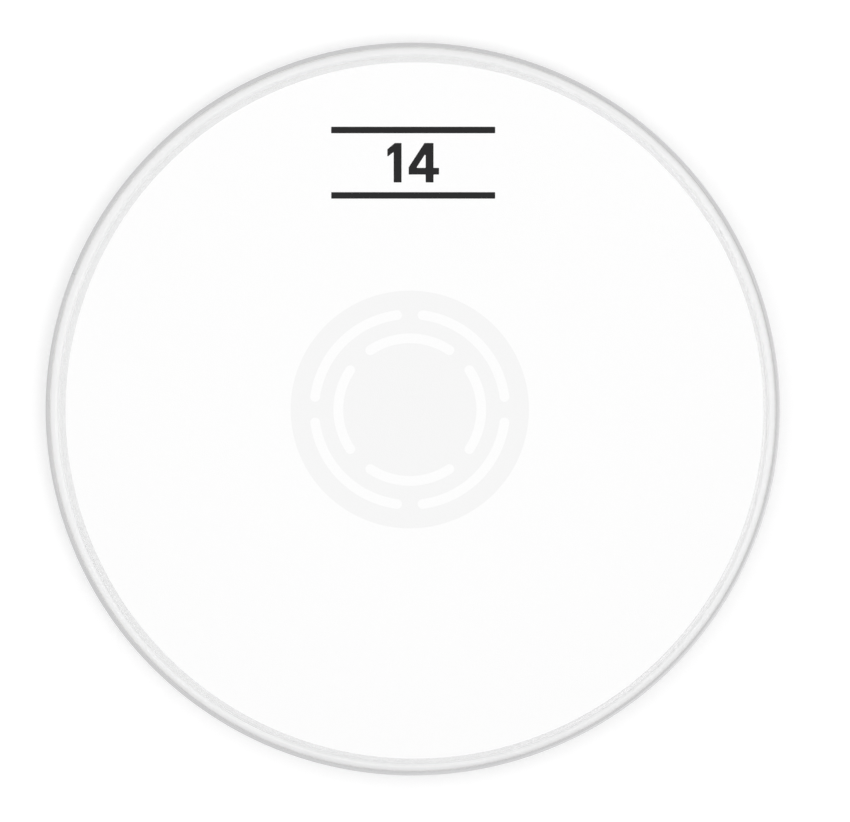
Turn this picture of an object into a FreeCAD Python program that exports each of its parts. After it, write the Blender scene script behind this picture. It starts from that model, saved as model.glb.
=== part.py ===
"""A 14 inch two-ply coated drum head with a vented dot underneath, in millimetres.

The head lies as it does on a drum: the hoop's lower face is at z = 0 and the playing face looks up.
Every piece is a revolved section or a cut sheet, and all of them take their places from the drum shell's
diameter, the hoop's section and the line along which the two film plies meet.
"""
import FreeCAD
import Part
import math
import os

# Drum shell and the hoop's channel
shell_diameter = 355.6
shell_clearance = 1.1
hoop_width = 3.6
hoop_height = 9.5
hoop_wall = 0.7
hoop_floor = 1.0
hoop_corner = 0.6
lip_depth = 0.8
lip_round = 0.25
inner_lip_drop = 0.8
slot_corner = 0.3
seam_gap = 0.12
seam_angle = 158.0

# Film plies, their formed collar and the resin that holds their skirt
film_thickness = 0.254
collar_rise = 12.0
shoulder_inset = 4.0
shoulder_radius = 3.5
throat_radius = 2.0
skirt_clearance = 1.0
lip_gap = 0.1
resin_inside = 0.1
resin_drop = 0.3

# White coat, masked off just short of the collar's shoulder
coat_thickness = 0.05
coat_margin = 1.0
coat_shift_shares = (0.92, 0.21)

# Vented dot and its adhesive, under the centre
dot_diameter = 118.0
dot_thickness = 0.076
adhesive_thickness = 0.05
dot_shift_x = -1.4
dot_shift_y = 1.25
dot_rim = 9.3
vent_width = 4.8
vent_ring_pitch = 11.9
vents_per_ring = 4
inner_bridge = 9.3
outer_bridge = 7.9

FULL_TURN = 360.0
SAME_POINT = 1e-6
UP = FreeCAD.Vector(0, 0, 1)
CENTRE = FreeCAD.Vector(0, 0, 0)

# Hoop radii and levels
hoop_inner = shell_diameter / 2 + shell_clearance
hoop_outer = hoop_inner + hoop_width
slot_inner = hoop_inner + hoop_wall
slot_outer = hoop_outer - hoop_wall
lip_underside = hoop_height - lip_depth
inner_lip = hoop_height - inner_lip_drop
inner_lip_round = hoop_wall / 2

# The line where the plies meet: flat, shoulder arc, straight slope, throat arc and skirt
skirt_radius = slot_inner + resin_inside + film_thickness
skirt_end = hoop_floor + skirt_clearance
lip_edge = skirt_radius + film_thickness + lip_gap
film_top = hoop_height + collar_rise
meeting_level = film_top - film_thickness
film_underside = meeting_level - film_thickness
flat_radius = shell_diameter / 2 - shoulder_inset
shoulder_level = meeting_level - shoulder_radius
throat_centre = skirt_radius - throat_radius
resin_level = inner_lip - inner_lip_round - resin_drop

# Dot radii
dot_radius = dot_diameter / 2
outer_ring = dot_radius - dot_rim - vent_width / 2
inner_ring = outer_ring - vent_ring_pitch


def section_point(radius, level):
    """A point of a section, in the plane that is revolved about the head's axis."""
    return FreeCAD.Vector(radius, 0, level)


def closed_face(edges):
    """The face inside edges that meet end to end, given in any order."""
    return Part.Face(Part.Wire(Part.__sortEdges__(edges)))


def revolved(face, turn=FULL_TURN):
    """The face carried about the head's axis, from one side of the hoop's seam round to the other."""
    ring = face.revolve(CENTRE, UP, turn)
    ring.rotate(CENTRE, UP, seam_angle + (FULL_TURN - turn) / 2)
    return ring


def rounded_section(corners):
    """A section from (radius, level, rounding) corners in order. A rounding of zero is a sharp corner."""
    edges = []
    starts, ends = [], []
    count = len(corners)
    for index in range(count):
        here = section_point(*corners[index][:2])
        rounding = corners[index][2]
        back = (section_point(*corners[index - 1][:2]) - here).normalize()
        ahead = (section_point(*corners[(index + 1) % count][:2]) - here).normalize()
        if not rounding:
            starts.append(here)
            ends.append(here)
            continue
        half_angle = back.getAngle(ahead) / 2
        inward = (back + ahead).normalize()
        starts.append(here + back * (rounding / math.tan(half_angle)))
        ends.append(here + ahead * (rounding / math.tan(half_angle)))
        middle = here + inward * (rounding / math.sin(half_angle) - rounding)
        edges.append(Part.Arc(starts[-1], middle, ends[-1]).toShape())
    for index in range(count):
        if not ends[index - 1].isEqual(starts[index], SAME_POINT):
            edges.append(Part.makeLine(ends[index - 1], starts[index]))
    return closed_face(edges)


def hoop_section():
    """The channel: a floor, a plain inner wall, and an outer wall whose lip turns in over the resin."""
    return rounded_section([
        (hoop_inner, 0, hoop_corner),
        (hoop_outer, 0, hoop_corner),
        (hoop_outer, hoop_height, lip_round),
        (lip_edge, hoop_height, lip_round),
        (lip_edge, lip_underside, 0),
        (slot_outer, lip_underside, 0),
        (slot_outer, hoop_floor, slot_corner),
        (slot_inner, hoop_floor, slot_corner),
        (slot_inner, inner_lip, inner_lip_round),
        (hoop_inner, inner_lip, inner_lip_round),
    ])


def flesh_hoop():
    """The channel bent into a ring, with a hairline butt seam where its two ends meet."""
    return revolved(hoop_section(), FULL_TURN - math.degrees(seam_gap / hoop_outer))


def slope_angle():
    """Angle below the horizontal of the common tangent to the shoulder and throat arcs, in radians."""
    run = throat_centre - flat_radius
    fall = shoulder_level - inner_lip
    return math.atan2(fall, run) + math.asin((shoulder_radius - throat_radius) / math.hypot(run, fall))


def film_line(offset):
    """Points and edges of the plies' meeting line, moved outwards by offset, from the axis to the skirt's end."""
    def on_arc(radius, level, size, angle):
        return section_point(radius + size * math.sin(angle), level + size * math.cos(angle))

    slope, skirt = slope_angle(), math.pi / 2
    edges = []
    reached = section_point(0, meeting_level + offset)
    first = reached
    arcs = (
        (flat_radius, shoulder_level, shoulder_radius + offset, 0, slope),
        (throat_centre, inner_lip, throat_radius + offset, slope, skirt),
    )
    for radius, level, size, start, end in arcs:
        start_point, middle, end_point = (
            on_arc(radius, level, size, angle) for angle in (start, (start + end) / 2, end)
        )
        edges.append(Part.makeLine(reached, start_point))
        edges.append(Part.Arc(start_point, middle, end_point).toShape())
        reached = end_point
    last = section_point(skirt_radius + offset, skirt_end)
    edges.append(Part.makeLine(reached, last))
    return first, edges, last


def ply_section(lower, upper):
    """The section of film between two offsets from the plies' meeting line."""
    lower_first, lower_edges, lower_last = film_line(lower)
    upper_first, upper_edges, upper_last = film_line(upper)
    axis_edge = Part.makeLine(lower_first, upper_first)
    skirt_edge = Part.makeLine(lower_last, upper_last)
    return closed_face(lower_edges + upper_edges + [axis_edge, skirt_edge])


def top_ply():
    """The upper film."""
    return revolved(ply_section(0, film_thickness))


def bottom_ply():
    """The lower film, nested under the upper one."""
    return revolved(ply_section(-film_thickness, 0))


def resin_lock():
    """Cured resin round and under the film's skirt, filling the channel up to its lips."""
    film_inside = skirt_radius - film_thickness
    film_outside = skirt_radius + film_thickness
    return revolved(rounded_section([
        (slot_inner, hoop_floor, slot_corner),
        (slot_outer, hoop_floor, slot_corner),
        (slot_outer, lip_underside, 0),
        (film_outside, lip_underside, 0),
        (film_outside, skirt_end, 0),
        (film_inside, skirt_end, 0),
        (film_inside, resin_level, 0),
        (slot_inner, resin_level, 0),
    ]))


def coating():
    """The sprayed coat, a thin disc that lies a little off centre within the flat of the top ply."""
    shift_x, shift_y = (coat_margin * share for share in coat_shift_shares)
    corner = FreeCAD.Vector(shift_x, shift_y, film_top)
    return Part.makeCylinder(flat_radius - coat_margin, coat_thickness, corner)


def vent_outline(ring_radius, middle_angle, bridge):
    """A curved vent with round ends. The bridge is the film left between the tips of two vents of one ring."""
    half_width = vent_width / 2
    half_turn = math.pi / vents_per_ring - (bridge / 2 + half_width) / ring_radius

    def at(radius, turn):
        angle = middle_angle + turn
        return FreeCAD.Vector(radius * math.cos(angle), radius * math.sin(angle), 0)

    def arc_along(radius):
        return Part.Arc(at(radius, -half_turn), at(radius, 0), at(radius, half_turn)).toShape()

    def round_end(turn):
        along = at(half_width, turn + math.copysign(math.pi / 2, turn))
        tip = at(ring_radius, turn) + along
        return Part.Arc(at(ring_radius - half_width, turn), tip, at(ring_radius + half_width, turn)).toShape()

    sides = [arc_along(ring_radius + half_width), arc_along(ring_radius - half_width)]
    return Part.Wire(Part.__sortEdges__(sides + [round_end(half_turn), round_end(-half_turn)]))


def vented_sheet(level, thickness):
    """A round sheet with two rings of vents, the inner ring's vents astride the outer ring's bridges."""
    outlines = [Part.Wire(Part.makeCircle(dot_radius))]
    pitch = 2 * math.pi / vents_per_ring
    for index in range(vents_per_ring):
        outlines.append(vent_outline(inner_ring, index * pitch, inner_bridge))
        outlines.append(vent_outline(outer_ring, index * pitch + pitch / 2, outer_bridge))
    sheet = Part.makeFace(outlines, "Part::FaceMakerBullseye")
    sheet.translate(FreeCAD.Vector(dot_shift_x, dot_shift_y, level))
    return sheet.extrude(UP * thickness)


def dot_adhesive():
    """The adhesive film, cut with the dot."""
    return vented_sheet(film_underside - adhesive_thickness, adhesive_thickness)


def reverse_dot():
    """The dot itself, under its adhesive."""
    return vented_sheet(film_underside - adhesive_thickness - dot_thickness, dot_thickness)


os.makedirs("parts", exist_ok=True)
for piece in (flesh_hoop, resin_lock, top_ply, bottom_ply, coating, reverse_dot, dot_adhesive):
    solid = piece()
    solid.exportStep("parts/" + piece.__name__ + ".step")
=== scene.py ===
"""Looks for a 14 inch two-ply coated drum head with a vented dot underneath.

Everything is in metres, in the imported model's frame: the hoop's lower face is at z = 0, the playing face
looks up and +Y is the top of the picture. Rings and plies are sections carried round the head's axis, and
the dot is a sheet with two rings of vents, all made by geometry nodes.
"""
import math

import bmesh
import bpy
from bpy.props import FloatProperty, FloatVectorProperty, IntProperty, PointerProperty
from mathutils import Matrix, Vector


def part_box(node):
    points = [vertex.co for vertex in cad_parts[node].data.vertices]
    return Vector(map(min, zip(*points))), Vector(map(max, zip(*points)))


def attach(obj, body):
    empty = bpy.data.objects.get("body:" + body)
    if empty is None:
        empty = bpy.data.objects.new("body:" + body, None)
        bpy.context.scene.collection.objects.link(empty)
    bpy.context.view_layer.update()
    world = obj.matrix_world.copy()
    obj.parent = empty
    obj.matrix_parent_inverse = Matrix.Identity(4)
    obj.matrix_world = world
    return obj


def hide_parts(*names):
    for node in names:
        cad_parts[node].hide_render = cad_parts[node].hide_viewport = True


bl_info = {
    "name": "Drum head",
    "version": (1, 0, 0),
    "blender": (4, 5, 0),
    "location": "View3D > Sidebar > Drum head",
    "description": "Builds a coated drum head with its hoop, film, dot and studio round its CAD model",
    "category": "Add Mesh",
}

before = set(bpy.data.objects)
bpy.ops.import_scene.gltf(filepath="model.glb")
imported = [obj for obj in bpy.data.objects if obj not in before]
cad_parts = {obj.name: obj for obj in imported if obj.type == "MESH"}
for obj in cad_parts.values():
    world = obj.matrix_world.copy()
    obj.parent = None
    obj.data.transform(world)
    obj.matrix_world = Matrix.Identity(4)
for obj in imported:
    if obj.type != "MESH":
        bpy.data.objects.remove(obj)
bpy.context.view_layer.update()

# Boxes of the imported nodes, which the sizes below start from
HOOP_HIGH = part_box("flesh_hoop")[1]
FILM_LOW, FILM_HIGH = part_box("top_ply")
COAT_LOW, COAT_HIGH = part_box("coating")
DOT_LOW, DOT_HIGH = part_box("reverse_dot")
GLUE_LOW, GLUE_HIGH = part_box("dot_adhesive")

BODY = "root"

# Fineness of the meshes
WELD = 5e-6
SHARP_ANGLE = math.radians(40)
ROUND_STEPS = 6
ARC_STEPS = 12
SLOPE_STEPS = 6
MENISCUS_STEPS = 8
RIM_POINTS = 360
VENT_POINTS = 48
CAP_POINTS = 17

# Shares of the inner wall that round its edges, and of the feather that the coat loses by half its height
WALL_ROUND_SHARE = 0.48
FEATHER_SHARE = 0.25

# Outlines of the printed digits, in digit heights: the 1, then the 4 with the hole in it
DIGIT_SHARES = (
    [[(0.16, 0.0), (0.36, 0.0), (0.36, 1.0), (0.19, 1.0), (0.0, 0.84), (0.0, 0.645), (0.16, 0.775)]],
    [[(0.43, 0.0), (0.63, 0.0), (0.63, 0.2), (0.77, 0.2), (0.77, 0.37), (0.63, 0.37), (0.63, 1.0),
      (0.4, 1.0), (0.0, 0.385), (0.0, 0.2), (0.43, 0.2)],
     [(0.43, 0.37), (0.43, 0.735), (0.195, 0.37)]],
)

# Coarseness of the finishes in patches to the metre: along, across and up the hoop, by axis, or all alike
HOOP_LINES = (14, 5200, 5200)
HOOP_PATCHES = (30, 300, 300)
DRAWN_LINES = (9, 900, 900)
ROLLED_STREAKS = (40, 900, 40)
RESIN_PATCHES = 220.0
COAT_PATCHES = 45.0
COAT_TOOTH = 1900.0
DOT_PATCHES = 320.0
GLUE_PATCHES = 700.0

# Depth of the finishes' relief
HOOP_RELIEF = 0.000004
DRAWN_RELIEF = 0.000006
RESIN_RELIEF = 0.00003
COAT_RELIEF = 0.00004
DOT_RELIEF = 0.00001
INK_RELIEF = 0.00003

# What the lines along the hoop and collar add to their roughness, and how much the coat's tooth counts
HOOP_LINE_ROUGHNESS = 0.05
DRAWN_LINE_ROUGHNESS = 0.10
TOOTH_WEIGHT = 8.0
PIT_SHARE = 0.010

# Part of the noise's range that is spread over 0 to 1, and the places of a colour mix's sockets
NOISE_SPAN = (0.25, 0.75)
COLOUR_MIX_INPUTS = (0, 6, 7)
COLOUR_MIX_RESULT = 2

# Camera
SENSOR_WIDTH = 36.0
CLIP_RANGE = (0.1, 200.0)


# Settings
def length(name, description, default):
    """A size in metres that a user may change."""
    return FloatProperty(name=name, description=description, default=default, unit="LENGTH", precision=5)


def point(name, description, *default):
    """A place in metres that a user may change."""
    return FloatVectorProperty(name=name, description=description, default=default, size=len(default),
                               unit="LENGTH")


def angle(name, description, degrees):
    """An angle that a user may change."""
    return FloatProperty(name=name, description=description, default=math.radians(degrees),
                         unit="ROTATION")


def angles(name, description, *degrees):
    """A few angles that a user may change."""
    return FloatVectorProperty(name=name, description=description, size=len(degrees), unit="ROTATION",
                               default=tuple(math.radians(turn) for turn in degrees))


def share(name, description, default):
    """A number from 0 to 1 that a user may change."""
    return FloatProperty(name=name, description=description, default=default, min=0, max=1,
                         subtype="FACTOR")


def colour(name, description, *default):
    """A linear colour that a user may change."""
    return FloatVectorProperty(name=name, description=description, default=default, size=3, min=0, max=1,
                               subtype="COLOR")


class HoopSettings(bpy.types.PropertyGroup):
    """Sizes and finish of the rolled hoop and the resin in it."""
    outer_radius: length("Outer radius", "Radius of the hoop's outer wall", max(HOOP_HIGH.x, HOOP_HIGH.y))
    height: length("Height", "Height of the hoop's outer wall", HOOP_HIGH.z)
    width: length("Width", "Width of the channel over both walls", 0.0036)
    wall: length("Wall", "Thickness of the channel's walls", 0.0007)
    floor: length("Floor", "Thickness of the channel's floor", 0.001)
    corner: length("Corner", "Rounding of the two lower corners", 0.0006)
    lip_width: length("Lip width", "Width of the lip that turns in over the resin", 0.002192)
    lip_depth: length("Lip depth", "Thickness of the lip", 0.0008)
    lip_round: length("Lip rounding", "Rounding of the lip's upper edges", 0.00025)
    inner_drop: length("Inner wall drop", "How far the inner wall ends below the lip", 0.0008)
    slot_corner: length("Slot corner", "Rounding of the channel's inner corners", 0.0003)
    resin_drop: length("Resin drop", "How far the resin ends below the inner wall's rounded edge", 0.0003)
    resin_turn: angle("Resin turn", "How far round the lip's inner edge the resin has crept", 60)
    resin_rise: length("Resin rise", "How far the resin has crept up the film above the lip", 0.0009)
    seam_gap: length("Seam gap", "Gap between the hoop's two ends", 0.00012)
    seam_angle: angle("Seam angle", "Where the hoop's two ends meet, from +X", 158)
    segments: IntProperty(name="Segments", description="Facets round each ring", default=720, min=90,
                          max=1440)
    metal: colour("Metal", "Colour of the satin aluminium", 0.58, 0.58, 0.585)
    # Painted highlight: the hoop's outer edge and wall are blended part of the way towards a lighter metal,
    # for the light they catch
    worn: colour("Worn metal", "Colour of the aluminium on worn edges", 0.74, 0.74, 0.745)
    wear: share("Wear", "How worn the hoop's outer edge is", 0.25)
    resin: colour("Resin", "Colour of the cured resin", 0.765, 0.763, 0.755)


class FilmSettings(bpy.types.PropertyGroup):
    """Sizes and finish of the two film plies."""
    ply: length("Ply thickness", "Thickness of one ply", 0.000254)
    top: length("Top level", "Level of the top ply's flat", FILM_HIGH.z)
    flat_radius: length("Flat radius", "Where the flat ends and the shoulder starts", 0.1738)
    shoulder: length("Shoulder radius", "Radius of the shoulder where the plies meet", 0.0035)
    throat: length("Throat radius", "Radius where the collar turns down into the hoop", 0.002)
    throat_level: length("Throat level", "Where the collar has turned upright", 0.0087)
    skirt_radius: length("Skirt radius", "Radius of the upright skirt where the plies meet", 0.179954)
    skirt_end: length("Skirt end", "Level of the skirt's lower end", FILM_LOW.z)
    seat: length("Seat", "Air between pieces that touch, so that no two faces lie in one place", 0.00001)
    clear: colour("Clear film", "Colour of the film", 0.965, 0.966, 0.967)
    haze: share("Haze", "Share of light that one face of the flat film scatters", 0.14)
    passes: share("Passes", "Share of the lamps' light that one face lets through", 0.97)
    formed_haze: share("Formed haze", "Share of light that one face of the shoulder scatters", 0.26)
    formed_from: length("Formed from", "How far out on the shoulder the formed haze starts", 0.0013)
    milky: colour("Milky film", "Colour of the collar's slope, where the film was drawn most",
                  0.893, 0.894, 0.895)
    milky_haze: share("Milky haze", "Share of light that one face of the collar's slope scatters", 0.80)
    milky_from: length("Milky from", "How far out on the shoulder the milky slope starts", 0.0026)
    formed_centre: point("Formed centre", "Centre of the formed zones, off the hoop's", 0.0005, 0.0006)


class CoatSettings(bpy.types.PropertyGroup):
    """Sizes and finish of the sprayed coat."""
    radius: length("Radius", "Radius of the coat", (COAT_HIGH.x - COAT_LOW.x) / 2)
    centre: point("Centre", "Centre of the coat", *((COAT_HIGH + COAT_LOW) / 2)[:2])
    low: length("Lower face", "Level of the coat's lower face", COAT_LOW.z)
    high: length("Upper face", "Level of the coat's upper face", COAT_HIGH.z)
    feather: length("Feather", "Width over which the coat thins out at its masked edge", 0.00012)
    white: colour("White", "Colour of the dried coat", 0.964, 0.964, 0.964)
    # Painted shade: the coat's colour over the dot's film, and how softly it ends, standing in for the
    # light the dot under it holds back
    shade: colour("Shade", "Colour of the coat where the dot lies under it", 0.902, 0.902, 0.902)
    shade_edge: length("Shade edge", "How softly the dot's shade ends", 0.00022)
    pits: colour("Pits", "Colour in the pits of the coat's tooth", 0.80, 0.80, 0.80)


class DotSettings(bpy.types.PropertyGroup):
    """Sizes and finish of the vented dot and its adhesive."""
    radius: length("Radius", "Radius of the dot", (DOT_HIGH.x - DOT_LOW.x) / 2)
    centre: point("Centre", "Centre of the dot", *((DOT_HIGH + DOT_LOW) / 2)[:2])
    rim: length("Rim", "Width of film outside the outer vents", 0.0093)
    vent_width: length("Vent width", "Width of the vents", 0.0048)
    ring_pitch: length("Ring pitch", "Distance between the two rings of vents", 0.0119)
    vents: IntProperty(name="Vents per ring", description="Vents in each ring", default=4, min=2, max=12)
    inner_bridge: length("Inner bridge", "Film between the tips of two inner vents", 0.0093)
    outer_bridge: length("Outer bridge", "Film between the tips of two outer vents", 0.0079)
    film: colour("Dot film", "Colour of the dot", 0.80, 0.81, 0.825)
    film_passes: share("Dot passes", "Share of the lamps' light that one face lets through", 0.6)
    glue: colour("Adhesive", "Colour of the adhesive", 0.88, 0.88, 0.86)
    glue_passes: share("Adhesive passes", "Share of the lamps' light that one face lets through", 0.75)


class PrintSettings(bpy.types.PropertyGroup):
    """The size in inches printed on the coat, between two rules."""
    digit_height: length("Digit height", "Height of the digits", 0.0195)
    digit_gap: length("Digit gap", "Space between the digits", 0.0035)
    corner: length("Corner", "Rounding of the print's corners", 0.0003)
    rule_length: length("Rule length", "Length of the rules above and below the digits", 0.081)
    rule_height: length("Rule height", "Height of one rule", 0.0032)
    rule_gap: length("Rule gap", "Space between the digits and the rules", 0.0048)
    place: point("Place", "Middle of the print", 0.0003, 0.1235)
    ink_thickness: length("Ink thickness", "Thickness of the ink", 0.000012)
    ink: colour("Ink", "Colour of the ink", 0.008, 0.008, 0.0085)


class StageSettings(bpy.types.PropertyGroup):
    """Camera, floor and light."""
    lens: FloatProperty(name="Lens", description="Focal length", default=289.8, subtype="DISTANCE_CAMERA")
    distance: length("Distance", "From the camera to what it looks at", 3.4)
    tilt: angle("Tilt", "How far the camera leans towards the picture's top", 3.95)
    aim: point("Aim", "Point in the middle of the picture", 0.00613, -0.00025, HOOP_HIGH.z)
    floor_reach: length("Floor reach", "Half the floor's side", 40)
    floor: colour("Floor", "Colour of the floor", 0.98, 0.98, 0.98)
    glow: share("Floor glow", "What the floor adds to its own white where it is seen", 0.10)
    sky: share("Sky", "Strength of the light from all round", 0.886)
    key: FloatProperty(name="Key", description="Strength of the main lamp", default=0.25)
    key_from: angles("Key from", "Azimuth from +X and elevation of the main lamp", -35, 60)
    key_spread: angle("Key spread", "Width of the main lamp in the sky", 40)
    sides: FloatVectorProperty(name="Sides", description="Strengths of the low lamps at the right and left",
                               size=2, default=(0.6, 0.7))
    sides_from: angles("Sides from", "Azimuths of the low lamps from +X", 35, 168)
    sides_height: angle("Sides height", "Elevation of the low lamps", 5)
    sides_spread: angle("Sides spread", "Width of each low lamp in the sky", 70)


# Nodes
def connect(tree, value, socket):
    """Links an output to a socket, or sets the socket's own value."""
    if isinstance(value, bpy.types.NodeSocket):
        tree.links.new(value, socket)
    else:
        socket.default_value = value


def node(tree, kind, inputs=(), **settings):
    """A new node with its settings, and its inputs set or linked by name or place."""
    made = tree.nodes.new(kind)
    for name, value in settings.items():
        setattr(made, name, value)
    for key, value in dict(inputs).items():
        connect(tree, value, made.inputs[key])
    return made


def result(tree, kind, inputs=(), **settings):
    """The first output of a new node."""
    return node(tree, kind, inputs, **settings).outputs[0]


def maths(tree, operation, *values):
    """One step of arithmetic."""
    return result(tree, "ShaderNodeMath", enumerate(values), operation=operation)


def vector(tree, **parts):
    """A vector from its parts. Those not given are zero."""
    return result(tree, "ShaderNodeCombineXYZ", parts)


def ramp(tree, value, start=0.0, end=1.0, low=0.0, high=1.0):
    """A soft step of value from start to end, between low and high."""
    return result(tree, "ShaderNodeMapRange", {
        "Value": value, "From Min": start, "From Max": end, "To Min": low, "To Max": high,
    }, interpolation_type="SMOOTHSTEP")


def blend_colours(tree, factor, first, second):
    """A mix of two colours."""
    inputs = zip(COLOUR_MIX_INPUTS, (factor, first, second))
    return node(tree, "ShaderNodeMix", inputs, data_type="RGBA").outputs[COLOUR_MIX_RESULT]


def sockets(tree, direction, **kinds):
    """Named inputs or outputs of a tree. Underlines in the names stand for spaces."""
    for name, kind in kinds.items():
        tree.interface.new_socket(name=name.replace("_", " "), in_out=direction,
                                  socket_type="NodeSocket" + kind)


def group_of(name, kind):
    """A new tree with its input and output nodes."""
    tree = bpy.data.node_groups.new(name, kind)
    return tree, tree.nodes.new("NodeGroupInput"), tree.nodes.new("NodeGroupOutput")


def tree_of(maker):
    """The tree that is named like its maker, made on its first use."""
    return bpy.data.node_groups.get(maker.__name__) or maker()


# Geometry nodes
def joined(tree, *shapes):
    """Several shapes as one."""
    join = node(tree, "GeometryNodeJoinGeometry")
    for shape in shapes:
        tree.links.new(shape, join.inputs[0])
    return join.outputs[0]


def welded(tree, shape):
    """A shape whose points are merged where they meet."""
    return result(tree, "GeometryNodeMergeByDistance", {"Geometry": shape, "Distance": WELD})


def moved(tree, shape, **changes):
    """A shape with a Translation or Rotation."""
    return result(tree, "GeometryNodeTransform", {"Geometry": shape, **changes})


def finish_tree(tree, shape, material, end):
    """The last nodes of a tree: copies made real, and their material."""
    real = result(tree, "GeometryNodeRealizeInstances", {"Geometry": shape})
    dressed = result(tree, "GeometryNodeSetMaterial", {"Geometry": real, "Material": material})
    tree.links.new(dressed, end.inputs[0])
    return tree


def ring_from_section():
    """A tree that carries a section, drawn as edges in X and Y, round the head's axis."""
    tree, start, end = group_of("ring_from_section", "GeometryNodeTree")
    tree.is_modifier = True
    sockets(tree, "INPUT", Section="Geometry", Ring_Radius="Float", Segments="Int", Opening="Float",
            Opening_Angle="Float", Centre="Vector", Material="Material")
    sockets(tree, "OUTPUT", Ring="Geometry")
    given = start.outputs
    size = {"Resolution": given["Segments"], "Radius": given["Ring Radius"]}
    half = maths(tree, "MULTIPLY", given["Opening"], 0.5)
    path = result(tree, "GeometryNodeSwitch", {
        "Switch": maths(tree, "GREATER_THAN", given["Opening"], 0.0),
        "False": result(tree, "GeometryNodeCurvePrimitiveCircle", size),
        "True": result(tree, "GeometryNodeCurveArc", {
            **size, "Start Angle": maths(tree, "ADD", given["Opening Angle"], half),
            "Sweep Angle": maths(tree, "SUBTRACT", math.tau, given["Opening"]),
        }),
    }, input_type="GEOMETRY")
    profile = result(tree, "GeometryNodeMeshToCurve", {"Mesh": given["Section"]})
    swept = result(tree, "GeometryNodeCurveToMesh",
                   {"Curve": path, "Profile Curve": profile, "Fill Caps": True})
    placed_ring = moved(tree, welded(tree, swept), Translation=given["Centre"])
    return finish_tree(tree, placed_ring, given["Material"], end)


def vent_ring(tree, ring_radius, width, half_turn, count, first_share):
    """Outlines of one ring of curved vents with round ends, the first at a share of the pitch from +X."""
    half_width = maths(tree, "MULTIPLY", width, 0.5)
    sides = [result(tree, "GeometryNodeCurveArc", {
        "Resolution": VENT_POINTS,
        "Radius": maths(tree, operation, ring_radius, half_width),
        "Start Angle": maths(tree, "MULTIPLY", half_turn, -1.0),
        "Sweep Angle": maths(tree, "MULTIPLY", half_turn, 2.0),
    }) for operation in ("ADD", "SUBTRACT")]
    ends = []
    for way in (1.0, -1.0):
        cap = result(tree, "GeometryNodeCurveArc", {
            "Resolution": CAP_POINTS, "Radius": half_width, "Start Angle": 0.0,
            "Sweep Angle": math.pi * way,
        })
        out = moved(tree, cap, Translation=vector(tree, X=ring_radius))
        ends.append(moved(tree, out, Rotation=vector(tree, Z=maths(tree, "MULTIPLY", half_turn, way))))
    edges = result(tree, "GeometryNodeCurveToMesh", {"Curve": joined(tree, *sides, *ends)})
    outline = result(tree, "GeometryNodeMeshToCurve", {"Mesh": welded(tree, edges)})
    pitch = maths(tree, "DIVIDE", math.tau, count)
    first = maths(tree, "MULTIPLY", pitch, first_share)
    turn = maths(tree, "MULTIPLY_ADD", result(tree, "GeometryNodeInputIndex"), pitch, first)
    spread = result(tree, "GeometryNodeInstanceOnPoints", {
        "Points": result(tree, "GeometryNodePoints", {"Count": count}),
        "Instance": outline, "Rotation": vector(tree, Z=turn),
    })
    return result(tree, "GeometryNodeRealizeInstances", {"Geometry": spread})


def vented_sheet():
    """A tree for a round sheet with two rings of vents, the inner vents astride the outer bridges."""
    tree, start, end = group_of("vented_sheet", "GeometryNodeTree")
    tree.is_modifier = True
    sockets(tree, "INPUT", Base="Geometry", Sheet_Radius="Float", Thickness="Float", Vent_Width="Float",
            Vents="Int", Inner_Ring="Float", Inner_Half_Turn="Float", Outer_Ring="Float",
            Outer_Half_Turn="Float", Centre="Vector", Material="Material")
    sockets(tree, "OUTPUT", Sheet="Geometry")
    given = start.outputs
    outlines = [result(tree, "GeometryNodeCurvePrimitiveCircle",
                       {"Resolution": RIM_POINTS, "Radius": given["Sheet Radius"]})]
    for ring, first_share in (("Inner", 0.0), ("Outer", 0.5)):
        outlines.append(vent_ring(tree, given[ring + " Ring"], given["Vent Width"],
                                  given[ring + " Half Turn"], given["Vents"], first_share))
    flat = result(tree, "GeometryNodeFillCurve", {"Curve": joined(tree, *outlines)}, mode="TRIANGLES")
    raised = result(tree, "GeometryNodeExtrudeMesh", {
        "Mesh": flat, "Offset": (0.0, 0.0, 1.0), "Offset Scale": given["Thickness"], "Individual": False,
    }, mode="FACES")
    under = result(tree, "GeometryNodeFlipFaces", {"Mesh": flat})
    sheet = moved(tree, welded(tree, joined(tree, raised, under)), Translation=given["Centre"])
    return finish_tree(tree, sheet, given["Material"], end)


def placed(name, data):
    """A new object in the scene."""
    thing = bpy.data.objects.new(name, data)
    bpy.context.scene.collection.objects.link(thing)
    return thing


def grown(name, base, maker, values):
    """A plain object with the mesh that a maker's tree makes from a base mesh."""
    piece = placed(name, base)
    tree = tree_of(maker)
    modifier = piece.modifiers.new(tree.name, "NODES")
    modifier.node_group = tree
    for item in tree.interface.items_tree:
        if item.in_out == "INPUT" and item.name in values:
            modifier[item.identifier] = values[item.name]
    evaluated = piece.evaluated_get(bpy.context.evaluated_depsgraph_get())
    mesh = bpy.data.meshes.new_from_object(evaluated)
    piece.modifiers.remove(modifier)
    piece.data = mesh
    mesh.name = name
    if not mesh.polygons:
        raise RuntimeError(name + " came out empty")
    finish_mesh(mesh)
    return piece


def finish_mesh(mesh):
    """Faces turned outwards and shaded smooth up to the sharp angle."""
    work = bmesh.new()
    work.from_mesh(mesh)
    bmesh.ops.recalc_face_normals(work, faces=work.faces)
    work.to_mesh(mesh)
    work.free()
    mesh.shade_smooth()
    mesh.set_sharp_from_angle(angle=SHARP_ANGLE)


# Sections
def section_mesh(name, points, ring_radius, closed):
    """Edges through (radius, level) points, laid out for a ring of the given radius."""
    count = len(points)
    edges = [(index, index + 1) for index in range(count - 1)]
    if closed:
        edges.append((count - 1, 0))
    mesh = bpy.data.meshes.new(name + "_section")
    mesh.from_pydata([(radius - ring_radius, -level, 0) for radius, level in points], edges, [])
    return mesh


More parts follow.
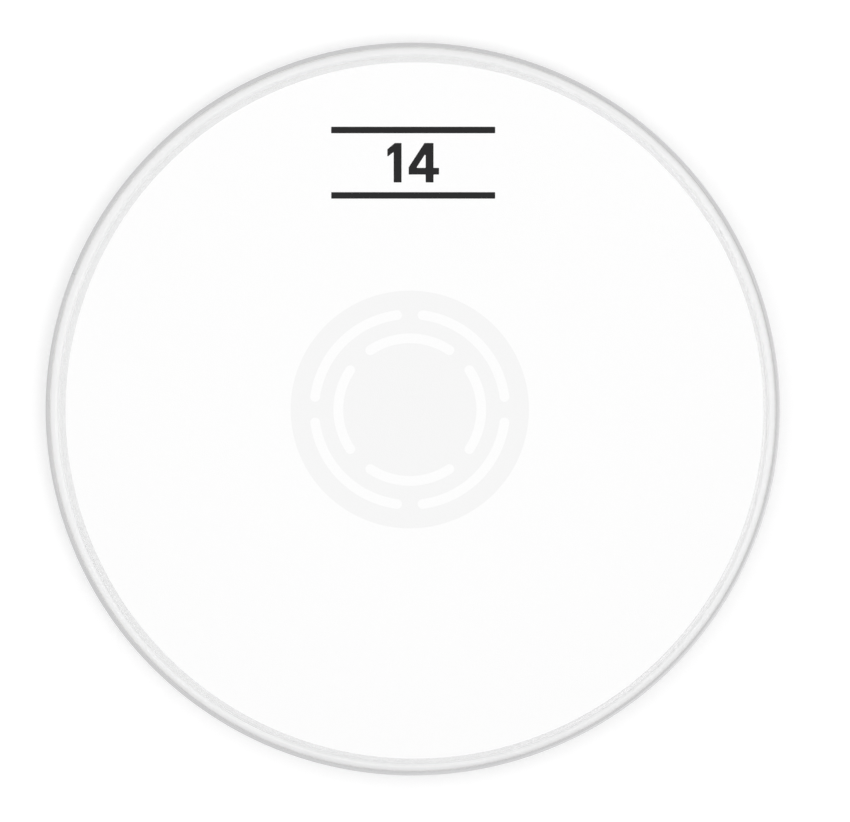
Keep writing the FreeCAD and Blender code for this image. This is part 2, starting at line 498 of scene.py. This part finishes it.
def rounded_outline(corners):
    """Points round a section from (radius, level, rounding) corners in order."""
    points = []
    for index, (radius, level, rounding) in enumerate(corners):
        here = Vector((radius, level, 0))
        if not rounding:
            points.append((radius, level))
            continue
        back = (Vector((*corners[index - 1][:2], 0)) - here).normalized()
        ahead = (Vector((*corners[(index + 1) % len(corners)][:2], 0)) - here).normalized()
        half_angle = back.angle(ahead) / 2
        centre = here + (back + ahead).normalized() * (rounding / math.sin(half_angle))
        reach = rounding / math.tan(half_angle)
        first, last = ((here + way * reach - centre).normalized() for way in (back, ahead))
        for step in range(ROUND_STEPS + 1):
            place = centre + first.slerp(last, step / ROUND_STEPS) * rounding
            points.append((place.x, place.y))
    return points


def film_line(film, offset):
    """(radius, level) points along the plies' meeting line, moved out by offset, from axis to skirt."""
    meeting = film.top - film.ply
    shoulder_level = meeting - film.shoulder
    throat_centre = film.skirt_radius - film.throat
    run, fall = throat_centre - film.flat_radius, shoulder_level - film.throat_level
    slope = math.atan2(fall, run) + math.asin((film.shoulder - film.throat) / math.hypot(run, fall))
    points = [(0.0, meeting + offset), (film.flat_radius / 2, meeting + offset)]
    for radius, level, size, first, last in (
        (film.flat_radius, shoulder_level, film.shoulder + offset, 0.0, slope),
        (throat_centre, film.throat_level, film.throat + offset, slope, math.pi / 2),
    ):
        if first:
            foot = Vector(points[-1])
            start = radius + size * math.sin(first), level + size * math.cos(first)
            points += [foot.lerp(start, step / SLOPE_STEPS)[:] for step in range(1, SLOPE_STEPS)]
        for step in range(ARC_STEPS + 1):
            turn = first + (last - first) * step / ARC_STEPS
            points.append((radius + size * math.sin(turn), level + size * math.cos(turn)))
    points.append((film.skirt_radius + offset, film.skirt_end))
    return points


def film_radius(film, offset, level):
    """Radius at which the film's line, moved outwards by offset, comes down to a level."""
    points = film_line(film, offset)
    for (inner, high), (outer, low) in zip(points, points[1:]):
        if low <= level < high:
            return inner + (outer - inner) * (high - level) / (high - low)
    raise ValueError("The film doesn't come down to that level")


def hollow(first, bend, last, share_along):
    """A place on the curve that leaves one point towards the bend and comes from there to the other."""
    first, bend, last = (Vector(place) for place in (first, bend, last))
    return first.lerp(bend, share_along).lerp(bend.lerp(last, share_along), share_along)[:]


def crept_resin(hoop, film, level):
    """Points of the resin above its level: up round the lip's edge, over in a hollow and down the film."""
    lip_edge = hoop.outer_radius - hoop.lip_width - film.seat
    reach = hoop.lip_round + film.seat
    points = [(lip_edge, level)]
    for step in range(ROUND_STEPS + 1):
        turn = hoop.resin_turn * step / ROUND_STEPS
        points.append((lip_edge + reach * (1 - math.cos(turn)),
                       hoop.height - hoop.lip_round + reach * math.sin(turn)))
    outside, top = film.ply + film.seat, hoop.height + hoop.resin_rise
    edge, end = points[-1], (film_radius(film, outside, top), top)
    bend = film_radius(film, outside, edge[1]), edge[1]
    points += [hollow(edge, bend, end, step / MENISCUS_STEPS) for step in range(1, MENISCUS_STEPS + 1)]
    return points + [place for place in film_line(film, outside) if level < place[1] < top]


def vent_rings(dot):
    """(middle radius, half the turn between a vent's end centres) of the inner and the outer ring."""
    half_width = dot.vent_width / 2
    outer = dot.radius - dot.rim - half_width
    inner = outer - dot.ring_pitch
    return [(ring, math.pi / dot.vents - (bridge / 2 + half_width) / ring)
            for ring, bridge in ((inner, dot.inner_bridge), (outer, dot.outer_bridge))]


# Shader groups
def squared_radius(tree, parts):
    """Square of the distance from the axis, from a place's parts."""
    return maths(tree, "ADD", *[maths(tree, "MULTIPLY", parts[axis], parts[axis]) for axis in "XY"])


def ring_space():
    """Places on the head as distance along the ring from the seam, and radius."""
    hoop = bpy.context.scene.drum_hoop
    tree, start, end = group_of("ring_space", "ShaderNodeTree")
    sockets(tree, "INPUT", Vector="Vector")
    sockets(tree, "OUTPUT", Lengthwise="Vector", Radius="Float")
    turned = result(tree, "ShaderNodeVectorRotate", {
        "Vector": start.outputs["Vector"], "Angle": math.pi - hoop.seam_angle,
    }, rotation_type="Z_AXIS")
    parts = node(tree, "ShaderNodeSeparateXYZ", {"Vector": turned}).outputs
    along = maths(tree, "MULTIPLY", maths(tree, "ARCTAN2", parts["Y"], parts["X"]), hoop.outer_radius)
    radius = maths(tree, "SQRT", squared_radius(tree, parts))
    tree.links.new(vector(tree, X=along, Y=radius, Z=parts["Z"]), end.inputs["Lengthwise"])
    tree.links.new(radius, end.inputs["Radius"])
    return tree


def mottle():
    """Uneven cloud of values from 0 to 1, of a given coarseness."""
    tree, start, end = group_of("mottle", "ShaderNodeTree")
    sockets(tree, "INPUT", Vector="Vector", Scale="Float", Detail="Float")
    sockets(tree, "OUTPUT", Value="Float")
    given = {name: start.outputs[name] for name in ("Vector", "Scale", "Detail")}
    noise = node(tree, "ShaderNodeTexNoise", given).outputs["Fac"]
    tree.links.new(ramp(tree, noise, *NOISE_SPAN), end.inputs["Value"])
    return tree


def below(tree, value, limit, soft):
    """1 where value is under limit, falling to 0 over the given softness."""
    near, far = maths(tree, "SUBTRACT", limit, soft), maths(tree, "ADD", limit, soft)
    return ramp(tree, value, near, far, 1.0, 0.0)


def vented_dot():
    """1 on the dot's film and 0 in its vents and beyond its rim, read from above or below."""
    dot = bpy.context.scene.drum_dot
    inner, outer = vent_rings(dot)
    tree, start, end = group_of("vented_dot", "ShaderNodeTree")
    sockets(tree, "INPUT", Vector="Vector", Softness="Float")
    sockets(tree, "OUTPUT", Film="Float")
    soft = start.outputs["Softness"]
    centred = result(tree, "ShaderNodeVectorMath", {0: start.outputs["Vector"], 1: (*dot.centre, 0.0)},
                     operation="SUBTRACT")
    parts = node(tree, "ShaderNodeSeparateXYZ", {"Vector": centred}).outputs
    squares = squared_radius(tree, parts)
    radius = maths(tree, "SQRT", squares)
    bearing = maths(tree, "ARCTAN2", parts["Y"], parts["X"])
    half_pitch = math.pi / dot.vents
    film = below(tree, radius, dot.radius, soft)
    for (ring, half_turn), first in ((inner, 0.0), (outer, half_pitch)):
        # Distance from the vent's middle line, by the law of cosines
        turned = maths(tree, "WRAP", maths(tree, "SUBTRACT", bearing, first), half_pitch, -half_pitch)
        past = maths(tree, "SUBTRACT", maths(tree, "ABSOLUTE", turned), half_turn)
        cosine = maths(tree, "COSINE", maths(tree, "MAXIMUM", past, 0.0))
        product = maths(tree, "MULTIPLY", maths(tree, "MULTIPLY", radius, 2 * ring), cosine)
        apart = maths(tree, "SUBTRACT", maths(tree, "ADD", squares, ring * ring), product)
        distance = maths(tree, "SQRT", maths(tree, "MAXIMUM", apart, 0.0))
        vent = below(tree, distance, dot.vent_width / 2, soft)
        film = maths(tree, "MULTIPLY", film, maths(tree, "SUBTRACT", 1.0, vent))
    tree.links.new(film, end.inputs["Film"])
    return tree


def placed_group(tree, maker, **inputs):
    """A shader group in a material, with its own values."""
    return node(tree, "ShaderNodeGroup", inputs, node_tree=tree_of(maker)).outputs


# Materials
def material(name):
    """A new material with its tree and its main shader."""
    made = bpy.data.materials.new(name)
    made.use_nodes = True
    tree = made.node_tree
    tree.nodes.clear()
    shader = tree.nodes.new("ShaderNodeBsdfPrincipled")
    tree.nodes.new("ShaderNodeOutputMaterial")
    surface(tree, shader.outputs[0])
    return made, tree, shader


def surface(tree, shader):
    """Makes a shader the material's surface."""
    output = next(made for made in tree.nodes if made.type == "OUTPUT_MATERIAL")
    tree.links.new(shader, output.inputs["Surface"])


def own_place(tree):
    """The piece's own coordinates."""
    return node(tree, "ShaderNodeTexCoord").outputs["Object"]


def rgba(value, factor=1.0):
    """A colour made lighter or darker by a factor, with full alpha."""
    return (*(channel * factor for channel in value), 1.0)


def shades(tree, mask, value, low, high):
    """A colour times low where the mask is 0, and times high where it is 1."""
    return blend_colours(tree, mask, rgba(value, low), rgba(value, high))


def cloud(tree, place, patches, detail=3.0):
    """A mottle with so many patches to the metre, given for each axis or for all alike."""
    if isinstance(patches, tuple):
        place = result(tree, "ShaderNodeVectorMath", {0: place, 1: patches}, operation="MULTIPLY")
        patches = 1.0
    return placed_group(tree, mottle, Vector=place, Scale=patches, Detail=detail)["Value"]


def dress(tree, shader, base, rough):
    """Links a base colour and a roughness to a shader."""
    tree.links.new(base, shader.inputs["Base Color"])
    tree.links.new(rough, shader.inputs["Roughness"])


def plain(shader, **values):
    """Sets a shader's own inputs. Underlines in the names stand for spaces."""
    for name, value in values.items():
        shader.inputs[name.replace("_", " ")].default_value = value


def bump(tree, shader, height, distance, strength=1.0):
    """Fine relief on the shader's normal."""
    relief = result(tree, "ShaderNodeBump", {"Height": height, "Distance": distance, "Strength": strength})
    tree.links.new(relief, shader.inputs["Normal"])


def clear_to_lamps(tree, shader, passes):
    """Lets lamps and sky shine through a clear piece, which else would black out all that is under it."""
    rays = node(tree, "ShaderNodeLightPath").outputs
    lit = maths(tree, "MAXIMUM", rays["Is Shadow Ray"], rays["Is Diffuse Ray"])
    through = result(tree, "ShaderNodeBsdfTransparent", {"Color": (passes, passes, passes, 1.0)})
    surface(tree, result(tree, "ShaderNodeMixShader", {0: lit, 1: shader.outputs[0], 2: through}))


def satin_aluminium(hoop):
    """Rolled aluminium with fine lines along the hoop, and a painted highlight on its outer edge and wall.
    """
    made, tree, shader = material("satin_aluminium")
    ring = placed_group(tree, ring_space, Vector=own_place(tree))
    lines = cloud(tree, ring["Lengthwise"], HOOP_LINES)
    patches = cloud(tree, ring["Lengthwise"], HOOP_PATCHES, detail=2.0)
    # Painted highlight: lighter metal blended in towards the hoop's outer radius, for the light caught on
    # its outer edge and wall
    worn = ramp(tree, ring["Radius"], hoop.outer_radius - hoop.lip_round, hoop.outer_radius, high=hoop.wear)
    base = shades(tree, lines, hoop.metal, low=0.965, high=1.03)
    rough = ramp(tree, patches, low=0.20, high=0.26)
    dress(tree, shader, blend_colours(tree, worn, base, rgba(hoop.worn)),
          maths(tree, "MULTIPLY_ADD", lines, HOOP_LINE_ROUGHNESS, rough))
    plain(shader, Metallic=1.0)
    bump(tree, shader, lines, HOOP_RELIEF)
    return made


def cured_resin(hoop):
    """Milky cured resin with a slightly uneven face."""
    made, tree, shader = material("cured_resin")
    patches = cloud(tree, own_place(tree), RESIN_PATCHES)
    dress(tree, shader, shades(tree, patches, hoop.resin, low=0.94, high=1.03),
          ramp(tree, patches, low=0.34, high=0.48))
    bump(tree, shader, patches, RESIN_RELIEF)
    return made


def clear_film(film):
    """Clear polyester of the flat, with a light haze and faint streaks from the rolls."""
    made, tree, shader = material("clear_film")
    streaks = cloud(tree, own_place(tree), ROLLED_STREAKS, detail=2.0)
    dress(tree, shader, shades(tree, streaks, film.clear, low=1.0, high=0.985),
          ramp(tree, streaks, low=0.10, high=0.16))
    film_shader(tree, shader, film, film.haze)
    return made


def formed_film(film, name, white, haze):
    """The same film where heat has drawn it over the collar: hazier, with fine lines round the head."""
    made, tree, shader = material(name)
    ring = placed_group(tree, ring_space, Vector=own_place(tree))
    drawn = cloud(tree, ring["Lengthwise"], DRAWN_LINES, detail=2.0)
    rough = ramp(tree, ring["Radius"], film.flat_radius, film.flat_radius + film.shoulder,
                 low=0.16, high=0.38)
    dress(tree, shader, shades(tree, drawn, white, low=1.0, high=0.97),
          maths(tree, "MULTIPLY_ADD", drawn, DRAWN_LINE_ROUGHNESS, rough))
    bump(tree, shader, drawn, DRAWN_RELIEF)
    film_shader(tree, shader, film, haze)
    return made


def film_shader(tree, shader, film, haze):
    """What every part of the film shares: see-through polyester that lamps shine through."""
    plain(shader, Transmission_Weight=1.0 - haze, IOR=1.57)
    clear_to_lamps(tree, shader, film.passes)


def sprayed_coat(coat):
    """Matt white coat with a fine sprayed tooth. The dot under it shows as a faint painted shade in the
    coat's colour.
    """
    made, tree, shader = material("sprayed_coat")
    place = own_place(tree)
    film = placed_group(tree, vented_dot, Vector=place, Softness=coat.shade_edge)["Film"]
    patches = cloud(tree, place, COAT_PATCHES)
    tooth = cloud(tree, place, COAT_TOOTH)
    uneven = maths(tree, "MULTIPLY_ADD", tooth, TOOTH_WEIGHT, patches)
    pits = maths(tree, "MULTIPLY", uneven, PIT_SHARE)
    # Painted shade: the coat is coloured darker over the dot's film, though not over its vents, for the
    # light that the dot holds back
    white = blend_colours(tree, film, rgba(coat.white), rgba(coat.shade))
    dress(tree, shader, blend_colours(tree, pits, white, rgba(coat.pits)),
          ramp(tree, tooth, low=0.58, high=0.74))
    plain(shader, Specular_IOR_Level=0.25)
    bump(tree, shader, tooth, COAT_RELIEF, strength=0.5)
    return made


def dot_film(dot):
    """Translucent satin film of the dot."""
    made, tree, shader = material("satin_dot_film")
    patches = cloud(tree, own_place(tree), DOT_PATCHES)
    dress(tree, shader, shades(tree, patches, dot.film, low=0.97, high=1.02),
          ramp(tree, patches, low=0.28, high=0.42))
    plain(shader, Transmission_Weight=0.35, IOR=1.5)
    bump(tree, shader, patches, DOT_RELIEF)
    clear_to_lamps(tree, shader, dot.film_passes)
    return made


def dot_glue(dot):
    """Clear transfer adhesive, finely mottled."""
    made, tree, shader = material("transfer_adhesive")
    patches = cloud(tree, own_place(tree), GLUE_PATCHES, detail=4.0)
    dress(tree, shader, shades(tree, patches, dot.glue, low=0.95, high=1.0),
          ramp(tree, patches, low=0.40, high=0.60))
    plain(shader, Transmission_Weight=0.6, IOR=1.47)
    clear_to_lamps(tree, shader, dot.glue_passes)
    return made


def black_ink(ink):
    """Screen-printed ink that lets the coat's tooth show."""
    made, tree, shader = material("black_ink")
    tooth = cloud(tree, own_place(tree), COAT_TOOTH)
    dress(tree, shader, shades(tree, tooth, ink, low=1.0, high=1.8), ramp(tree, tooth, low=0.42, high=0.58))
    plain(shader, Specular_IOR_Level=0.2)
    bump(tree, shader, tooth, INK_RELIEF, strength=0.5)
    return made


# Pieces
def settle(piece, nodes=()):
    """The piece rides on the head's one body and stands for its CAD nodes."""
    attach(piece, BODY)
    if nodes:
        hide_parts(*nodes)


def ring_piece(name, points, closed_section, made_of, opening=0.0, centre=(0.0, 0.0, 0.0)):
    """A section carried round the head's axis."""
    hoop = bpy.context.scene.drum_hoop
    base = section_mesh(name, points, hoop.outer_radius, closed_section)
    return grown(name, base, ring_from_section, {
        "Ring Radius": hoop.outer_radius, "Segments": hoop.segments, "Opening": opening,
        "Opening Angle": hoop.seam_angle, "Centre": centre, "Material": made_of,
    })


class DRUMHEAD_OT_hoop(bpy.types.Operator):
    """Make the rolled hoop, split by its seam"""
    bl_idname = "drumhead.hoop"
    bl_label = "Hoop"

    def execute(self, context):
        hoop = context.scene.drum_hoop
        inside = hoop.outer_radius - hoop.width
        lip_edge = hoop.outer_radius - hoop.lip_width
        slot_in, slot_out = inside + hoop.wall, hoop.outer_radius - hoop.wall
        underside, inner_top = hoop.height - hoop.lip_depth, hoop.height - hoop.inner_drop
        points = rounded_outline([
            (inside, 0.0, hoop.corner),
            (hoop.outer_radius, 0.0, hoop.corner),
            (hoop.outer_radius, hoop.height, hoop.lip_round),
            (lip_edge, hoop.height, hoop.lip_round),
            (lip_edge, underside, 0.0),
            (slot_out, underside, 0.0),
            (slot_out, hoop.floor, hoop.slot_corner),
            (slot_in, hoop.floor, hoop.slot_corner),
            (slot_in, inner_top, hoop.wall * WALL_ROUND_SHARE),
            (inside, inner_top, hoop.wall * WALL_ROUND_SHARE),
        ])
        piece = ring_piece("hoop", points, True, satin_aluminium(hoop), hoop.seam_gap / hoop.outer_radius)
        settle(piece, ["flesh_hoop"])
        return {"FINISHED"}


class DRUMHEAD_OT_resin(bpy.types.Operator):
    """Make the cured resin that holds the film's skirt in the hoop"""
    bl_idname = "drumhead.resin"
    bl_label = "Resin"

    def execute(self, context):
        hoop, film = context.scene.drum_hoop, context.scene.drum_film
        slot_in = hoop.outer_radius - hoop.width + hoop.wall + film.seat
        slot_out = hoop.outer_radius - hoop.wall - film.seat
        film_in, film_out = (film.skirt_radius + way * (film.ply + film.seat) for way in (-1, 1))
        level = hoop.height - hoop.lip_depth - film.seat
        inner_level = hoop.height - hoop.inner_drop - hoop.wall / 2 - hoop.resin_drop
        bottom, skirt_end = hoop.floor + film.seat, film.skirt_end - film.seat
        points = rounded_outline([
            (slot_in, bottom, hoop.slot_corner),
            (slot_out, bottom, hoop.slot_corner),
            (slot_out, level, 0.0),
            *[(*place, 0.0) for place in crept_resin(hoop, film, level)],
            (film_out, level, 0.0),
            (film_out, skirt_end, 0.0),
            (film_in, skirt_end, 0.0),
            (film_in, inner_level, 0.0),
            (slot_in, inner_level, 0.0),
        ])
        settle(ring_piece("resin", points, True, cured_resin(hoop)), ["resin_lock"])
        return {"FINISHED"}


class DRUMHEAD_OT_plies(bpy.types.Operator):
    """Make the two film plies with their formed collar"""
    bl_idname = "drumhead.plies"
    bl_label = "Film plies"

    def execute(self, context):
        film = context.scene.drum_film
        clear = clear_film(film)
        formed = formed_film(film, "formed_film", film.clear, film.formed_haze)
        milky = formed_film(film, "milky_film", film.milky, film.milky_haze)
        for name, lower, upper in (("top_film", film.seat / 2, film.ply),
                                   ("bottom_film", -film.ply, -film.seat / 2)):
            points = film_line(film, lower) + film_line(film, upper)[::-1]
            piece = ring_piece(name, points, False, clear)
            for zone in (formed, milky):
                piece.data.materials.append(zone)
            for face in piece.data.polygons:
                out = (face.center.xy - Vector(film.formed_centre)).length - film.flat_radius
                face.material_index = int(out > film.formed_from) + int(out > film.milky_from)
            settle(piece, [name.replace("film", "ply")])
        return {"FINISHED"}


class DRUMHEAD_OT_coat(bpy.types.Operator):
    """Make the sprayed coat with its masked edge"""
    bl_idname = "drumhead.coat"
    bl_label = "Coat"

    def execute(self, context):
        coat, film = context.scene.drum_coat, context.scene.drum_film
        low = coat.low + film.seat
        points = [
            (0.0, low),
            (coat.radius / 2, low),
            (coat.radius, low),
            (coat.radius - coat.feather * FEATHER_SHARE, (low + coat.high) / 2),
            (coat.radius - coat.feather, coat.high),
            (coat.radius / 2, coat.high),
            (0.0, coat.high),
        ]
        piece = ring_piece("coat", points, False, sprayed_coat(coat), centre=(*coat.centre, 0.0))
        # The coat is thin enough for light to pass down to what lies under it
        piece.visible_shadow = False
        piece.visible_diffuse = False
        settle(piece, ["coating"])
        return {"FINISHED"}


class DRUMHEAD_OT_dot(bpy.types.Operator):
    """Make the vented dot and its adhesive"""
    bl_idname = "drumhead.dot"
    bl_label = "Dot"

    def execute(self, context):
        dot, film = context.scene.drum_dot, context.scene.drum_film
        inner, outer = vent_rings(dot)
        for name, made_of, low, high, slot, node_name in (
            ("dot", dot_film(dot), DOT_LOW.z, DOT_HIGH.z, "dot_film", "reverse_dot"),
            ("adhesive", dot_glue(dot), GLUE_LOW.z, GLUE_HIGH.z, "adhesive", "dot_adhesive"),
        ):
            piece = grown(name, bpy.data.meshes.new(name + "_base"), vented_sheet, {
                "Sheet Radius": dot.radius, "Thickness": high - low - 2 * film.seat,
                "Vent Width": dot.vent_width, "Vents": dot.vents,
                "Inner Ring": inner[0], "Inner Half Turn": inner[1],
                "Outer Ring": outer[0], "Outer Half Turn": outer[1],
                "Centre": (*dot.centre, low + film.seat), "Material": made_of,
            })
            settle(piece, [node_name])
        return {"FINISHED"}


def print_outlines(mark):
    """Outlines of the digits and of the rules above and below them, about the print's middle."""
    height = mark.digit_height
    widths = [max(x for x, y in digit[0]) * height for digit in DIGIT_SHARES]
    left = -(sum(widths) + mark.digit_gap * (len(widths) - 1)) / 2
    near = height / 2 + mark.rule_gap
    far, half = near + mark.rule_height, mark.rule_length / 2
    outlines = []
    for digit, width in zip(DIGIT_SHARES, widths):
        for corners in digit:
            outlines.append([(left + x * height, (y - 0.5) * height) for x, y in corners])
        left += width + mark.digit_gap
    for low, high in ((near, far), (-far, -near)):
        outlines.append([(-half, low), (half, low), (half, high), (-half, high)])
    return [rounded_outline([(*corner, mark.corner) for corner in corners]) for corners in outlines]


def filled_mesh(name, outlines):
    """A flat mesh inside closed outlines."""
    drawing = bpy.data.curves.new(name, "CURVE")
    drawing.dimensions, drawing.fill_mode = "2D", "FRONT"
    for outline in outlines:
        line = drawing.splines.new("POLY")
        line.points.add(len(outline) - 1)
        for spot, (x, y) in zip(line.points, outline):
            spot.co = (x, y, 0.0, 1.0)
        line.use_cyclic_u = True
    drawn = placed(name, drawing)
    evaluated = drawn.evaluated_get(bpy.context.evaluated_depsgraph_get())
    mesh = bpy.data.meshes.new_from_object(evaluated)
    bpy.data.objects.remove(drawn)
    return mesh


class DRUMHEAD_OT_print(bpy.types.Operator):
    """Print the size number on the coat"""
    bl_idname = "drumhead.print"
    bl_label = "Size number"

    def execute(self, context):
        mark, coat, film = context.scene.drum_print, context.scene.drum_coat, context.scene.drum_film
        mesh = filled_mesh("size_print", print_outlines(mark))
        ink = bmesh.new()
        ink.from_mesh(mesh)
        bmesh.ops.remove_doubles(ink, verts=ink.verts, dist=WELD)
        bmesh.ops.beautify_fill(ink, faces=ink.faces, edges=ink.edges)
        raised = bmesh.ops.extrude_face_region(ink, geom=list(ink.faces), use_keep_orig=True)
        top = [item for item in raised["geom"] if isinstance(item, bmesh.types.BMVert)]
        bmesh.ops.translate(ink, verts=top, vec=(0, 0, mark.ink_thickness))
        bmesh.ops.translate(ink, verts=ink.verts, vec=(*mark.place, coat.high + film.seat / 2))
        bmesh.ops.recalc_face_normals(ink, faces=ink.faces)
        ink.to_mesh(mesh)
        ink.free()
        mesh.materials.clear()
        mesh.materials.append(black_ink(mark.ink))
        settle(placed("size_print", mesh))
        return {"FINISHED"}


# Stage
def seen_rays(tree):
    """1 for rays from the camera, and from metal and film that show what is round them."""
    rays = node(tree, "ShaderNodeLightPath").outputs
    mirrored = maths(tree, "MAXIMUM", rays["Is Glossy Ray"], rays["Is Transmission Ray"])
    return maths(tree, "MAXIMUM", rays["Is Camera Ray"], mirrored)


def pale_floor(stage):
    """A matt white floor that keeps shadows, and is open from below."""
    made, tree, shader = material("pale_floor")
    plain(shader, Base_Color=rgba(stage.floor), Roughness=1.0, Specular_IOR_Level=0.0)
    glow = maths(tree, "MULTIPLY", seen_rays(tree), stage.glow)
    lit = result(tree, "ShaderNodeAddShader", {
        0: shader.outputs[0], 1: result(tree, "ShaderNodeEmission", {"Strength": glow}),
    })
    from_below = node(tree, "ShaderNodeNewGeometry").outputs["Backfacing"]
    surface(tree, result(tree, "ShaderNodeMixShader", {
        0: from_below, 1: lit, 2: result(tree, "ShaderNodeBsdfTransparent"),
    }))
    return made


def white_background(stage):
    """A sky that lights evenly and shows white to the camera and in metal and film."""
    world = bpy.data.worlds.new("studio")
    bpy.context.scene.world = world
    world.use_nodes = True
    tree = world.node_tree
    tree.nodes.clear()
    strength = maths(tree, "MULTIPLY_ADD", seen_rays(tree), 1.0 - stage.sky, stage.sky)
    sky = result(tree, "ShaderNodeBackground", {"Color": (1.0, 1.0, 1.0, 1.0), "Strength": strength})
    node(tree, "ShaderNodeOutputWorld", {"Surface": sky})


def lamp(name, strength, bearing, spread):
    """A broad far lamp that shines from a bearing of azimuth and elevation."""
    azimuth, elevation = bearing
    data = bpy.data.lights.new(name, "SUN")
    data.energy = strength
    data.angle = spread
    source = Vector((math.cos(azimuth) * math.cos(elevation), math.sin(azimuth) * math.cos(elevation),
                     math.sin(elevation)))
    made = placed(name, data)
    made.rotation_mode = "QUATERNION"
    made.rotation_quaternion = (-source).to_track_quat("-Z", "Y")


def stage_floor(stage):
    """The floor that the head lies on."""
    reach = stage.floor_reach
    corners = [(-reach, -reach, 0), (reach, -reach, 0), (reach, reach, 0), (-reach, reach, 0)]
    mesh = bpy.data.meshes.new("floor")
    mesh.from_pydata(corners, [], [tuple(range(len(corners)))])
    mesh.materials.append(pale_floor(stage))
    return placed("floor", mesh)


def stage_camera(stage):
    """The camera at the photograph's viewing angle."""
    data = bpy.data.cameras.new("camera")
    data.sensor_width = SENSOR_WIDTH
    data.lens = stage.lens
    data.clip_start, data.clip_end = CLIP_RANGE
    camera = placed("camera", data)
    back = Vector((0, math.sin(stage.tilt), math.cos(stage.tilt)))
    camera.location = Vector(stage.aim) + back * stage.distance
    camera.rotation_euler = (-stage.tilt, 0, 0)
    return camera


class DRUMHEAD_OT_stage(bpy.types.Operator):
    """Set up the floor, the light and the camera"""
    bl_idname = "drumhead.stage"
    bl_label = "Stage"

    def execute(self, context):
        scene, stage = context.scene, context.scene.drum_stage
        scene.view_settings.view_transform = "Standard"
        floor = stage_floor(stage)
        white_background(stage)
        lamp("key", stage.key, stage.key_from, stage.key_spread)
        for name, strength, azimuth in zip(("right", "left"), stage.sides, stage.sides_from):
            lamp(name, strength, (azimuth, stage.sides_height), stage.sides_spread)
        scene.camera = stage_camera(stage)
        return {"FINISHED"}


SETTINGS = {
    "drum_hoop": HoopSettings,
    "drum_film": FilmSettings,
    "drum_coat": CoatSettings,
    "drum_dot": DotSettings,
    "drum_print": PrintSettings,
    "drum_stage": StageSettings,
}
OPERATORS = (DRUMHEAD_OT_hoop, DRUMHEAD_OT_resin, DRUMHEAD_OT_plies, DRUMHEAD_OT_coat, DRUMHEAD_OT_dot,
             DRUMHEAD_OT_print, DRUMHEAD_OT_stage)


class DRUMHEAD_PT_panel(bpy.types.Panel):
    """Sizes, colours and steps of the drum head"""
    bl_label = "Drum head"
    bl_idname = "DRUMHEAD_PT_panel"
    bl_space_type = "VIEW_3D"
    bl_region_type = "UI"
    bl_category = "Drum head"

    def draw(self, context):
        for operator in OPERATORS:
            self.layout.operator(operator.bl_idname)
        for name, group in SETTINGS.items():
            box = self.layout.box()
            box.label(text=name.replace("_", " "))
            for setting in group.__annotations__:
                box.prop(getattr(context.scene, name), setting)


def register():
    for kind in (*SETTINGS.values(), *OPERATORS, DRUMHEAD_PT_panel):
        bpy.utils.register_class(kind)
    for name, group in SETTINGS.items():
        setattr(bpy.types.Scene, name, PointerProperty(type=group))


def unregister():
    for name in SETTINGS:
        delattr(bpy.types.Scene, name)
    for kind in (DRUMHEAD_PT_panel, *OPERATORS, *SETTINGS.values()):
        bpy.utils.unregister_class(kind)


def main():
    register()
    bpy.ops.drumhead.hoop()
    bpy.ops.drumhead.resin()
    bpy.ops.drumhead.plies()
    bpy.ops.drumhead.coat()
    bpy.ops.drumhead.dot()
    bpy.ops.drumhead.print()
    bpy.ops.drumhead.stage()


if __name__ == "__main__":
    main()
